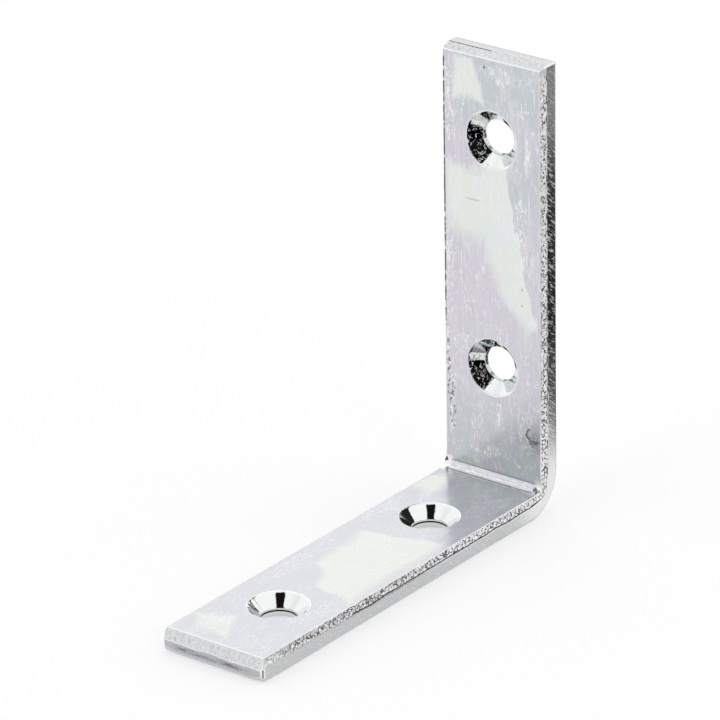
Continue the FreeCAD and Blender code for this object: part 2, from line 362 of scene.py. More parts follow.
INNER_RADIUS = 1.2
HEEL_RADIUS = 7.0
CREASE_DEPTH = 0.06
CREASE_WIDTH = 0.17
CREASE_INSET = 0.12
CREASE_END = 0.9
CREASE_FADE = 1.2
BROAD_FACE_WEIGHT = 100


def rail(share, radius, level):
    """A point of the bend's inner or outer curve, from its start on the base to the upright."""
    run = LEG - STRAIGHT - level - radius
    arc_length = math.pi / 2 * radius
    walk = share * (2 * run + arc_length)
    turn = np.clip((walk - run) / radius, 0, math.pi / 2)
    corner = HALF_BASE - level - radius
    across = np.where(walk < run, corner - run + walk, corner + radius * np.sin(turn))
    up = np.where(walk > run + arc_length, level + radius + walk - run - arc_length,
                  level + radius * (1 - np.cos(turn)))
    return across, up


along, across, height = vertices.T
bend_share = np.clip((along - STRAIGHT) / BEND_LENGTH, 0, 1)
inner_run = LEG - STRAIGHT - THICKNESS - INNER_RADIUS
inner_length = 2 * inner_run + math.pi / 2 * INNER_RADIUS
from_middle = np.abs(bend_share - 0.5) * inner_length
crease_apart = np.abs(from_middle - math.pi / 4 * INNER_RADIUS + CREASE_INSET)
crease = CREASE_DEPTH * np.exp(-(crease_apart / CREASE_WIDTH) ** 2)
crease += 0.25 * CREASE_DEPTH * np.exp(-(from_middle / CREASE_WIDTH) ** 2)
crease *= np.clip((HALF_WIDTH - CREASE_END - np.abs(across)) / CREASE_FADE, 0, 1)
height = height - crease * (height > THICKNESS - 0.001)
inner_y, inner_z = rail(bend_share, INNER_RADIUS, THICKNESS)
outer_y, outer_z = rail(bend_share, HEEL_RADIUS, 0.0)
depth = height / THICKNESS
bent_y = np.where(along < STRAIGHT, along - HALF_BASE, outer_y + (inner_y - outer_y) * depth)
bent_z = np.where(along < STRAIGHT, height, outer_z + (inner_z - outer_z) * depth)
past_bend = along > STRAIGHT + BEND_LENGTH
bent_y = np.where(past_bend, HALF_BASE - height, bent_y)
bent_z = np.where(past_bend, along - BLANK_LENGTH + LEG, bent_z)

mesh = bpy.data.meshes.new("bracket")
mesh.from_pydata((np.column_stack([across, bent_y, bent_z]) * MM).tolist(), [], faces)
mesh.polygons.foreach_set("material_index", finishes)
mesh.polygons.foreach_set("use_smooth", [True] * len(faces))
mesh.update()
bracket = bpy.data.objects.new("bracket", mesh)
bpy.context.scene.collection.objects.link(bracket)

shell = bmesh.new()
shell.from_mesh(mesh)
bmesh.ops.recalc_face_normals(shell, faces=shell.faces)
shell.to_mesh(mesh)
shell.free()

# every edge is smooth, and the broad faces keep their own direction up to their borders
corner_normals = np.zeros((len(vertices), 3))
normals = np.zeros(len(mesh.polygons) * 3)
mesh.polygons.foreach_get("normal", normals)
normals = normals.reshape(-1, 3)
areas = np.zeros(len(mesh.polygons))
mesh.polygons.foreach_get("area", areas)
areas[first_broad:] *= BROAD_FACE_WEIGHT
for polygon, normal, area in zip(mesh.polygons, normals, areas):
    corner_normals[list(polygon.vertices)] += normal * area
corner_normals /= np.linalg.norm(corner_normals, axis=1)[:, None]
mesh.normals_split_custom_set_from_vertices(corner_normals.tolist())

# The broad faces, bright zinc over rolled steel: a semi-gloss metal whose thin clear film shows
# faint violet, blue and greenish yellow, with pale patches, small white wear and a few dark nicks.
# Painted shade darkens them near the inner corner and in the fold's creases, and painted highlights
# run along the fold's rounded stripe and at its two ends.
# Each patch is a list of corners: across the strip, along the leg, and how soft its next side is.

UPRIGHT, BASE = "upright", "base"
INNER_CORNER = (0, HALF_BASE - THICKNESS, THICKNESS)
HIGH_PATCH = [(-1.2, 66.5, 1.0), (-3.3, 74.1, 0.5), (-7.1, 73.7, 1.2), (-7.4, 66.2, 1.5)]
BROAD_PATCH = [(5.0, 47.0, 0.3), (2.6, 57.7, 2.5), (-8.9, 55.1, 2.0), (-8.4, 45.9, 5.0),
               (-2.3, 43.0, 5.0)]
TAIL_PATCH = [(8.3, 31.5, 0.35), (2.6, 57.7, 2.5), (-1.5, 53.0, 3.5), (-2.3, 44.1, 3.0),
              (2.4, 35.1, 2.5), (6.8, 30.8, 1.5)]
MIDDLE_PATCH = [(7.8, -14.1, 3.0), (7.55, 9.1, 0.8), (-5.1, 6.65, 3.0), (-4.2, -5.5, 1.5),
                (0.8, -13.0, 1.5)]
NEAR_PATCH = [(0.6, -34.0, 1.5), (-3.0, -27.4, 1.5), (-8.3, -31.1, 2.0), (-4.5, -35.2, 2.0)]
FAR_PATCH = [(-4.6, 22.0, 2.0), (-5.2, 30.0, 1.5), (-8.8, 30.0, 1.5), (-8.6, 24.0, 2.0)]

# spots are across the strip, along the leg, and how far they reach each way
WORN_UPRIGHT = [
    (2.0, 71.6, 2.2, 2.6), (-8.3, 62.2, 1.6, 3.2), (7.0, 60.3, 0.9, 5.0), (-8.4, 68.0, 0.9, 5.0),
    (5.5, 66.5, 2.2, 0.8), (-5.7, 26.0, 2.5, 2.0), (0.8, 15.5, 1.0, 3.0), (6.6, 14.0, 1.6, 4.0),
    (1.0, 8.0, 6.0, 1.0), (5.6, 47.0, 1.4, 8.0), (-8.2, 38.0, 1.3, 8.0)]
WORN_BASE = [
    (-7.0, -8.0, 2.0, 10.0), (-7.5, 15.0, 1.5, 8.0), (6.5, -20.0, 1.6, 6.0),
    (1.0, -23.0, 6.0, 1.5), (5.5, 24.0, 3.0, 5.0), (-5.0, -30.0, 2.5, 4.0)]
WORN_LEFT_EDGE = [(-8.55, 22.0, 0.5, 8.0), (-7.8, 15.0, 0.75, 6.0)]
LONG_SCRATCHES = [
    (6.9, 62.6, 0.13, 3.0), (6.9, 58.2, 0.16, 1.8), (7.4, 51.8, 0.12, 3.4), (6.0, 68.1, 0.12, 1.4),
    (3.4, 66.0, 0.12, 0.9), (8.1, 64.3, 0.4, 0.3), (8.5, 70.0, 0.1, 2.2), (5.2, 41.5, 0.1, 1.8)]
DARK_DOTS = [(-1.27, 72.9, 0.35, 0.35)]
FAINT_DOTS = [(5.7, 37.6, 0.3, 0.4), (5.7, 34.9, 0.3, 0.3), (-3.5, 50.6, 2.0, 0.22)]
SCUFFS = [(8.1, 12.4, 0.9, 0.8), (7.3, 12.0, 0.6, 0.5)]
HATCHES = [(7.8, 11.5, 1.3, 0.2), (8.0, 10.8, 1.1, 0.18)]
# nicks at the two ends of the fold are x, y, z and how far they reach
FOLD_NICKS = [(8.9, 33.4, 5.0, 0.55), (9.4, 33.2, 4.85, 0.55), (9.9, 31.5, 4.5, 0.6),
              (9.5, 31.1, 4.5, 0.36), (-8.7, 34.0, 5.5, 0.4), (-7.8, 32.9, 4.5, 0.33)]
HOOK_MIDDLE, HOOK_RADIUS = (7.9, 13.9), 0.95
CURL_MIDDLE, CURL_RADIUS = (9.1, 13.9), 3.3
STRIPE_EDGE = (0.92, 1.0)
BESIDE_STRIPE = 1.07
FOLD_LINE_HEIGHT = 4.38
UPRIGHT_FROM = (5.0, 6.5)
OUTER_FACE_Y, OUTER_FACE_Z = 36.5, 1.0
SHADED_NEAR_FOLD = (5.0, 19.0)
WARP = (2.2, 4.5, 4.5)
SWAY = (0.6, 0.6, 0.6)
WAVE_HEIGHT, GRAIN_HEIGHT, CRUMPLE_HEIGHT = 0.08 * MM, 0.007 * MM, 0.09 * MM
BRIGHT_ROUGHNESS, WORN_ROUGHNESS = 0.2, 0.26

VIOLET, BLUE, CLEAR = (0.73, 0.70, 0.78), (0.635, 0.68, 0.71), (0.775, 0.775, 0.795)
BASE_TONE = (0.69, 0.717, 0.745)
SHADED_VIOLET, SHADED_BLUE = (0.615, 0.61, 0.665), (0.585, 0.65, 0.65)
SHADED_GREEN = (0.67, 0.70, 0.635)
ROLLED_TONE = (0.60, 0.61, 0.66)
BASE_PATCH, UPRIGHT_PATCH = (0.82, 0.845, 0.79), (0.865, 0.905, 0.84)
BLUISH_PATCH, STREAKED_PATCH = (0.85, 0.905, 0.90), (0.93, 0.945, 0.93)
# the white of the wear, also used for the painted highlights along the fold
WHITE_WEAR_AND_HIGHLIGHT = (0.96, 0.96, 0.97)
# dark wear, also used for the painted shade in the fold's creases
DARK_WEAR_AND_SHADE = (0.1, 0.105, 0.11)


def feed(tree, node, sockets):
    """Set a node's sockets to values, or link the sockets that feed them."""
    for name, value in sockets.items():
        if isinstance(value, bpy.types.NodeSocket):
            tree.links.new(value, node.inputs[name])
        else:
            node.inputs[name].default_value = value
    return node


def add(tree, kind, sockets=None, **settings):
    """A node with its settings and what its sockets get."""
    made = tree.nodes.new(kind)
    for name, value in settings.items():
        setattr(made, name, value)
    return feed(tree, made, sockets or {})


def maths(tree, operation, first, second=0.0, third=0.0):
    """The result of a sum on values or sockets."""
    made = add(tree, "ShaderNodeMath", {0: first, 1: second, 2: third}, operation=operation)
    return made.outputs[0]


def vectors(tree, operation, first, second=(0, 0, 0), third=(0, 0, 0)):
    """The result of a sum on vectors, which is a value for a product or a distance."""
    made = add(tree, "ShaderNodeVectorMath", {0: first, 1: second, 2: third}, operation=operation)
    single = operation in ("DOT_PRODUCT", "DISTANCE", "LENGTH")
    return made.outputs["Value" if single else "Vector"]


def product(tree, first, *others):
    """All the values multiplied."""
    for other in others:
        first = maths(tree, "MULTIPLY", first, other)
    return first


def strongest(tree, first, *others):
    """The largest of the values."""
    for other in others:
        first = maths(tree, "MAXIMUM", first, other)
    return first


def outside(tree, mask):
    """One where the mask is zero."""
    return maths(tree, "SUBTRACT", 1.0, mask)


def ramp(tree, value, low, high, start=0.0, end=1.0):
    """A smooth step of a value from one level to another."""
    return add(tree, "ShaderNodeMapRange",
               {"Value": value, "From Min": low, "From Max": high, "To Min": start, "To Max": end},
               interpolation_type="SMOOTHSTEP").outputs[0]


def close_to(tree, value, level, inner, outer, most=1.0):
    """The most within one distance of a level, and nothing beyond the other distance."""
    apart = maths(tree, "ABSOLUTE", maths(tree, "SUBTRACT", value, level))
    return ramp(tree, apart, inner, outer, most, 0.0)


def blend(tree, mask, first, second):
    """The first colour where the mask is 0, the second where it is 1."""
    made = add(tree, "ShaderNodeMix", {"Factor": mask}, data_type="RGBA")
    for name, colour in (("A", first), ("B", second)):
        socket = next(s for s in made.inputs if s.name == name and s.type == "RGBA")
        if isinstance(colour, bpy.types.NodeSocket):
            tree.links.new(colour, socket)
        else:
            socket.default_value = (*colour, 1)
    return next(s for s in made.outputs if s.type == "RGBA")


def cloud(tree, place, stretch, detail=2.0, roughness=0.5, distortion=0.0, output=0):
    """Soft noise over a place in millimetres, with a wave length for each direction."""
    stretched = vectors(tree, "MULTIPLY", place, [1 / wave for wave in stretch])
    return add(tree, "ShaderNodeTexNoise",
               {"Vector": stretched, "Scale": 1.0, "Detail": detail, "Roughness": roughness,
                "Distortion": distortion}).outputs[output]


def split(tree, place):
    """The x, y and z of a place."""
    return tuple(add(tree, "ShaderNodeSeparateXYZ", {0: place}).outputs)


def group(name, inputs, outputs):
    """A new node group with its named sockets."""
    made = bpy.data.node_groups.new(name, "ShaderNodeTree")
    for socket, kind in inputs.items():
        made.interface.new_socket(socket, in_out="INPUT", socket_type=kind)
    for socket, kind in outputs.items():
        made.interface.new_socket(socket, in_out="OUTPUT", socket_type=kind)
    return made, made.nodes.new("NodeGroupInput").outputs, made.nodes.new("NodeGroupOutput").inputs


speck_group, given, wanted = group(
    "specks", {"Place": "NodeSocketVector", "Size": "NodeSocketFloat", "Share": "NodeSocketFloat"},
    {"Mask": "NodeSocketFloat"})
cells = add(speck_group, "ShaderNodeTexVoronoi",
            {"Vector": given["Place"],
             "Scale": maths(speck_group, "DIVIDE", 1.0, given["Size"])}, feature="F1")
random = add(speck_group, "ShaderNodeSeparateColor", {0: cells.outputs["Color"]}).outputs[0]
speck_group.links.new(product(speck_group, maths(speck_group, "LESS_THAN", random, given["Share"]),
                              ramp(speck_group, cells.outputs["Distance"], 0.28, 0.5, 1.0, 0.0)),
                      wanted["Mask"])

# the dark line that the left edge of the upright shows
LINE_OUTER, LINE_INNER = -8.93, -8.78
LINE_FOOT, LINE_TOP = (27.0, 31.0), (72.8, 73.6)
shadow_group, given, wanted = group("left_shadow", {"Place": "NodeSocketVector"},
                                    {"Mask": "NodeSocketFloat"})
line_x, _, line_z = split(shadow_group, given["Place"])
broken = ramp(shadow_group, cloud(shadow_group, given["Place"], (1, 1, 0.9), 3.0, 0.6), 0.37, 0.48)
left_line = product(shadow_group, broken,
                    ramp(shadow_group, line_x, LINE_OUTER, LINE_INNER, 1.0, 0.0),
                    ramp(shadow_group, line_z, *LINE_FOOT),
                    ramp(shadow_group, line_z, *LINE_TOP, 1.0, 0.0))
shadow_group.links.new(left_line, wanted["Mask"])


def masked(tree, made_group, place, **values):
    """What a group puts out at a place."""
    made = add(tree, "ShaderNodeGroup", node_tree=made_group)
    return feed(tree, made, {"Place": place, **values}).outputs[0]


def in_millimetres(tree):
    """The place on the object, in millimetres."""
    return add(tree, "ShaderNodeVectorMath",
               {0: add(tree, "ShaderNodeTexCoord").outputs["Object"], "Scale": 1 / MM},
               operation="SCALE").outputs[0]


def metal(name):
    """A zinc material with its place in millimetres and its shader, ready for what it shows."""
    material = bpy.data.materials.new(name)
    material.use_nodes = True
    tree = material.node_tree
    tree.nodes.clear()
    place = in_millimetres(tree)
    shader = add(tree, "ShaderNodeBsdfPrincipled", {"Metallic": 1.0})
    add(tree, "ShaderNodeOutputMaterial", {"Surface": shader.outputs[0]})
    mesh.materials.append(material)
    return tree, place, shader


def bump(tree, height, distance, normal=None, strength=1.0):
    """The normal of a surface raised by a height, over another normal where one is given."""
    under = {} if normal is None else {"Normal": normal}
    return add(tree, "ShaderNodeBump", {"Height": height, "Distance": distance,
                                        "Strength": strength, **under}).outputs[0]


def on_leg(leg, across, along):
    """A vector across the strip and along a leg."""
    return (across, 0, along) if leg == UPRIGHT else (across, along, 0)


def patch(tree, place, leg, corners):
    """A mask inside a convex patch on a leg's inner face."""
    inside = None
    for number, (across, along, soft) in enumerate(corners):
        next_across, next_along, _ = corners[(number + 1) % len(corners)]
        run = math.hypot(next_across - across, next_along - along)
        out = ((next_along - along) / run, (across - next_across) / run)
        level = out[0] * across + out[1] * along
        reach = vectors(tree, "DOT_PRODUCT", place, on_leg(leg, *out))
        side = product(tree, maths(tree, "SUBTRACT", level, reach), 1 / soft)
        inside = side if inside is None else maths(tree, "MINIMUM", inside, side)
    return ramp(tree, inside, -0.5, 0.5)


def near_spots(tree, place, leg, spots):
    """A mask that is 1 at each spot of a leg and fades out."""
    masks = []
    for across, along, wide, long in spots:
        apart = vectors(tree, "SUBTRACT", place, on_leg(leg, across, along))
        scaled = vectors(tree, "MULTIPLY", apart, on_leg(leg, 1 / wide, 1 / long))
        masks.append(ramp(tree, vectors(tree, "LENGTH", scaled), 0.35, 1.1, 1.0, 0.0))
    return strongest(tree, *masks)


def near_points(tree, place, points):
    """A mask that is 1 at each point and fades out."""
    return strongest(tree, *[
        ramp(tree, vectors(tree, "DISTANCE", place, (x, y, z)), 0.6 * reach, reach, 1.0, 0.0)
        for x, y, z, reach in points])


def arc(tree, place, middle, radius, half_width, soft):
    """A mask along a circle on the upright's face."""
    apart = vectors(tree, "DISTANCE", vectors(tree, "MULTIPLY", place, (1, 0, 1)),
                    on_leg(UPRIGHT, *middle))
    return close_to(tree, apart, radius, half_width, half_width + soft)


def from_fold(tree, place):
    """The distance from the line of the inner corner."""
    return vectors(tree, "DISTANCE", vectors(tree, "MULTIPLY", place, (0, 1, 1)), INNER_CORNER)


def film_and_corner_shade(tree, place, upright, corner_shade):
    """The film's colour: violet, blue or clear, and near the bend painted shade of the inner corner
    in darker tints, some greener.
    """
    side_bias = vectors(tree, "DOT_PRODUCT", place, (0.008, 0, 0.005))
    hue = maths(tree, "ADD", cloud(tree, place, (7, 12, 12), 3.0, 0.55, 0.8), side_bias)
    film = blend(tree, ramp(tree, hue, 0.745, 0.885), VIOLET, BLUE)
    film = blend(tree, ramp(tree, cloud(tree, place, (3.1, 6, 6.3), 3.0, 0.6, 0.4), 0.5, 0.72),
                 film, CLEAR)
    film = blend(tree, maths(tree, "MULTIPLY_ADD", upright, -0.7, 0.7), film, BASE_TONE)
    hues = cloud(tree, place, (3.0, 5.5, 5.5), 3.0, 0.55, 0.6)
    greenish = product(tree, ramp(tree, hues, 0.52, 0.62),
                       maths(tree, "MULTIPLY_ADD", upright, -0.6, 0.9))
    shaded = blend(tree, ramp(tree, hues, 0.42, 0.56), SHADED_VIOLET, SHADED_BLUE)
    # painted shade of the inner corner: darker violet, blue and green tints near the bend
    film = blend(tree, corner_shade, film, blend(tree, greenish, shaded, SHADED_GREEN))
    rolled = product(tree, ramp(tree, cloud(tree, place, (0.55, 6, 6), 4.0, 0.65), 0.5, 0.66),
                     ramp(tree, upright, 0.0, 1.0, 0.1, 0.5))
    return blend(tree, rolled, film, ROLLED_TONE)


def pale_patches(tree, warped, upright):
    """The mask of the pale patches on both legs, and of the highest one alone."""
    high = patch(tree, warped, UPRIGHT, HIGH_PATCH)
    on_upright = product(tree, upright, strongest(
        tree, high, patch(tree, warped, UPRIGHT, BROAD_PATCH),
        patch(tree, warped, UPRIGHT, TAIL_PATCH)))
    at_ends = strongest(tree, patch(tree, warped, BASE, NEAR_PATCH),
                        patch(tree, warped, BASE, FAR_PATCH))
    on_base = product(tree, outside(tree, upright), strongest(
        tree, patch(tree, warped, BASE, MIDDLE_PATCH), product(tree, at_ends, 0.8)))
    return strongest(tree, on_upright, on_base), high


def patch_colour(tree, place, upright, high):
    """The pale patches' colour: warmer on the base, bluish and streaked on the upright."""
    bluish = product(tree, ramp(tree, cloud(tree, place, (4, 7, 7)), 0.47, 0.62),
                     maths(tree, "SUBTRACT", upright, high))
    streaky = product(tree, upright, 0.35,
                      ramp(tree, cloud(tree, place, (0.5, 9, 9), 3.0, 0.6), 0.4, 0.62))
    colour = blend(tree, upright, BASE_PATCH, UPRIGHT_PATCH)
    return blend(tree, streaky, blend(tree, bluish, colour, BLUISH_PATCH), STREAKED_PATCH)


def white_wear(tree, place, warped, upright):
    """Clustered specks, fine lines along the strip, short strokes and a few long scratches."""
    worn = maths(tree, "ADD",
                 product(tree, upright, near_spots(tree, warped, UPRIGHT, WORN_UPRIGHT)),
                 product(tree, outside(tree, upright), near_spots(tree, warped, BASE, WORN_BASE)))
    clusters = ramp(tree, maths(tree, "MULTIPLY_ADD", worn, 0.3, cloud(
        tree, place, (2.0, 3.5, 3.5), 4.0, 0.65, 0.6)), 0.52, 0.68)
    small = product(tree, clusters, ramp(
        tree, cloud(tree, place, (0.36, 1.0, 1.0), 4.0, 0.68, 0.2), 0.53, 0.6))
    tiny = masked(tree, speck_group, place, Size=0.22, Share=product(tree, clusters, 0.5))
    lines = product(tree, ramp(tree, cloud(tree, place, (0.25, 8, 8)), 0.60, 0.72),
                    ramp(tree, cloud(tree, place, (1.5, 3, 3)), 0.48, 0.62),
                    ramp(tree, upright, 0.0, 1.0, 0.35, 0.8))
    strokes = ramp(tree, cloud(tree, warped, (0.4, 1.5, 1.5), 3.0, 0.55, 0.5), 0.55, 0.68)
    swayed = vectors(tree, "MULTIPLY_ADD", cloud(tree, place, (1.5, 1.5, 1.5), output="Color"),
                     SWAY, place)
    scratches = near_spots(tree, swayed, UPRIGHT, LONG_SCRATCHES)
    return strongest(tree, small, product(tree, tiny, 0.8), lines, product(tree, strokes, 0.45),
                     product(tree, scratches, 0.8))


def left_edge_wear(tree, place):
    """Dark pits and white crumbs in a row low on the upright's left edge."""
    row = ramp(tree, near_spots(tree, place, UPRIGHT, WORN_LEFT_EDGE), 0.1, 0.6)
    chips = cloud(tree, place, (0.55, 0.8, 0.8), 3.0, 0.7, 0.4)
    return (product(tree, row, ramp(tree, chips, 0.41, 0.46, 1.0, 0.0)),
            product(tree, row, ramp(tree, chips, 0.54, 0.58)))


def gouge(tree, place, shaken):
    """The hooked gouge low on the upright's right: its dark marks and its bright ones."""
    x, _, z = split(tree, place)
    hook = product(tree, arc(tree, shaken, HOOK_MIDDLE, HOOK_RADIUS, 0.1, 0.14),
                   ramp(tree, x, 6.9, 7.4, 1.0, 0.0))
    scuffed = product(tree, near_spots(tree, place, UPRIGHT, SCUFFS), ramp(
        tree, cloud(tree, place, (0.7, 0.3, 0.3), 3.0, 0.6), 0.46, 0.51, 1.0, 0.0))
    curl = product(tree, arc(tree, shaken, CURL_MIDDLE, CURL_RADIUS, 0.05, 0.14),
                   ramp(tree, z, 12.8, 14.2), ramp(tree, x, 8.0, 8.6, 0.6, 0.0))
    hatches = product(tree, near_spots(tree, shaken, UPRIGHT, HATCHES), 0.7)
    return strongest(tree, hook, scuffed), strongest(tree, curl, hatches)


def fold_crease_shade(tree, place, fold_apart, on_stripe):
    """Painted shade in the creases that the bending tool leaves along the fold, on each side and
    down its middle, stronger on the base's side.
    """
    x, y, z = split(tree, place)
    below = maths(tree, "GREATER_THAN", maths(tree, "SUBTRACT", HALF_BASE, y), z)
    beside = product(tree, close_to(tree, fold_apart, BESIDE_STRIPE, 0.05, 0.17),
                     ramp(tree, below, 0.0, 1.0, 0.5, 0.85))
    middle = product(tree, on_stripe, close_to(tree, z, FOLD_LINE_HEIGHT, 0.02, 0.1, 0.3))
    uneven = ramp(tree, cloud(tree, place, (1.6, 0.8, 0.8), 3.0, 0.6), 0.32, 0.5, 0.4, 1.0)
    return product(tree, strongest(tree, beside, middle), close_to(tree, x, 0.0, 7.9, 8.5), uneven)


def dress_broad_faces():
    """The film, the patches, the wear and the fold's marks, over a faintly uneven surface."""
    tree, place, shader = metal("zinc_face")
    x, y, z = split(tree, place)
    upright = ramp(tree, z, *UPRIGHT_FROM)
    inner = outside(tree, strongest(tree, maths(tree, "GREATER_THAN", y, OUTER_FACE_Y),
                                    maths(tree, "LESS_THAN", z, OUTER_FACE_Z)))
    shift = vectors(tree, "SUBTRACT", cloud(tree, place, (4.5, 4.5, 4.5), 2.0, 0.4, output="Color"),
                    (0.5, 0.5, 0.5))
    warped = vectors(tree, "MULTIPLY_ADD", shift, WARP, place)
    shaken = vectors(tree, "ADD", place, cloud(tree, place, (0.6, 0.6, 0.6), 3.0, 0.6,
                                               output="Color"))
    fold_apart = from_fold(tree, place)
    on_stripe = ramp(tree, fold_apart, *STRIPE_EDGE, 1.0, 0.0)

    # painted shade that darkens the film towards the inner corner
    corner_shade = product(tree, ramp(tree, from_fold(tree, warped), *SHADED_NEAR_FOLD, 0.8, 0.0),
                        outside(tree, on_stripe))
    patches, high = pale_patches(tree, warped, upright)
    patches = product(tree, patches, inner, ramp(
        tree, cloud(tree, place, (0.7, 1.4, 1.4), 4.0, 0.65), 0.3, 0.52, 0.85, 0.98))
    colour = blend(tree, patches, film_and_corner_shade(tree, place, upright, corner_shade),
                   patch_colour(tree, place, upright, high))

    pits, crumbs = left_edge_wear(tree, place)
    dark_gouge, bright_gouge = gouge(tree, place, shaken)
    crumpled = cloud(tree, place, (0.9, 0.35, 0.35), 4.0, 0.7, 0.5)
    wear_and_highlight = product(tree, strongest(tree, white_wear(tree, place, warped, upright), crumbs,
                                    bright_gouge),
                    ramp(tree, upright, 0.0, 1.0, 0.6, 1.0), ramp(tree, fold_apart, 1.3, 1.8))
    # painted highlights: a bright stripe along the fold's rounded inner corner, and bright patches
    # at the fold's two ends
    stripe_highlight = product(tree, on_stripe, ramp(tree, crumpled, 0.4, 0.62, 0.12, 0.75))
    fold_end_highlight = product(tree, ramp(tree, fold_apart, 1.4, 2.2, 1.0, 0.0),
                           ramp(tree, maths(tree, "ABSOLUTE", x), 7.6, 8.4))
    wear_and_highlight = strongest(tree, wear_and_highlight, stripe_highlight, fold_end_highlight)
    colour = blend(tree, wear_and_highlight, colour, WHITE_WEAR_AND_HIGHLIGHT)

    dark = strongest(tree, pits, dark_gouge,
                     product(tree, near_spots(tree, place, UPRIGHT, DARK_DOTS), 0.8),
                     product(tree, near_spots(tree, place, UPRIGHT, FAINT_DOTS), 0.35),
                     product(tree, masked(tree, shadow_group, place), 1.2))
    # the fold's painted crease shade joins the dark wear, dots, nicks and the left edge's shadow
    # line
    dark = strongest(tree, product(tree, dark, upright, inner),
                     fold_crease_shade(tree, place, fold_apart, on_stripe),
                     product(tree, near_points(tree, shaken, FOLD_NICKS), 1.2))
    dark = maths(tree, "MINIMUM", product(tree, dark, 0.8), 1.0)
    rough_marks = ramp(tree, wear_and_highlight, 0.0, 1.0, BRIGHT_ROUGHNESS, WORN_ROUGHNESS)
    normal = bump(tree, cloud(tree, place, (5, 8, 8)), WAVE_HEIGHT)
    normal = bump(tree, cloud(tree, place, (0.7, 0.9, 0.9), 4.0, 0.6), GRAIN_HEIGHT, normal)
    normal = bump(tree, crumpled, CRUMPLE_HEIGHT, normal, on_stripe)
    feed(tree, shader, {"Base Color": blend(tree, dark, colour, DARK_WEAR_AND_SHADE),
                        "Roughness": rough_marks, "Normal": normal})


dress_broad_faces()

# The smooth band of the sheared edge, steel that the blade has burnished and scored at a slant. Its
# colour holds a painted reflection of the dark room on the upright, painted highlights on the heel
# and down the base's near corner, and painted shade on the top and near ends.

SCORE_SLANT = 38
NEAR_CORNER = (9.4, -37.4, 0)
SMOOTH_PALE, SMOOTH_DARK = (0.66, 0.67, 0.68), (0.10, 0.097, 0.10)
SMOOTH_GREY = (0.50, 0.49, 0.51)
STREAK, HEEL_HIGHLIGHT, TOP_SHADE = (0.87, 0.87, 0.88), (0.96, 0.97, 0.97), (0.75, 0.755, 0.77)
NEAR_END_SHADE, SCRAPE_TONE = (0.42, 0.42, 0.45), (0.16, 0.155, 0.175)
SMOOTH_SPECK, SMOOTH_CORNER_HIGHLIGHT = (0.93, 0.93, 0.94), (0.93, 0.92, 0.93)
SCRAPE_HEIGHT, SCRAPE_MIDDLE = 1.35, -0.5
DARK_ABOVE, GREY_ABOVE, STREAKS_END = (17.0, 34.0), (56.0, 66.0), (57.0, 67.0)
HEEL_BEYOND, HEEL_BELOW = (25.0, 32.0), (6.0, 13.0)
TOP_FACE, NEAR_END_FACE = (74.2, 74.5), (-37.4, -37.2)
SCORE_HEIGHT = 0.07 * MM
SMOOTH_ROUGHNESS, STREAK_ROUGHNESS = 0.2, 0.36

# a painted highlight down the base's near corner, used by the smooth and the torn band
corner_highlight_group, given, wanted = group("corner_highlight", {"Place": "NodeSocketVector"},
                                    {"Mask": "NodeSocketFloat"})
from_near_corner = vectors(corner_highlight_group, "DISTANCE", vectors(
    corner_highlight_group, "MULTIPLY", given["Place"], (1, 1, 0)), NEAR_CORNER)
corner_highlight_group.links.new(ramp(corner_highlight_group, from_near_corner, 0.42, 0.62, 1.0, 0.0), wanted["Mask"])


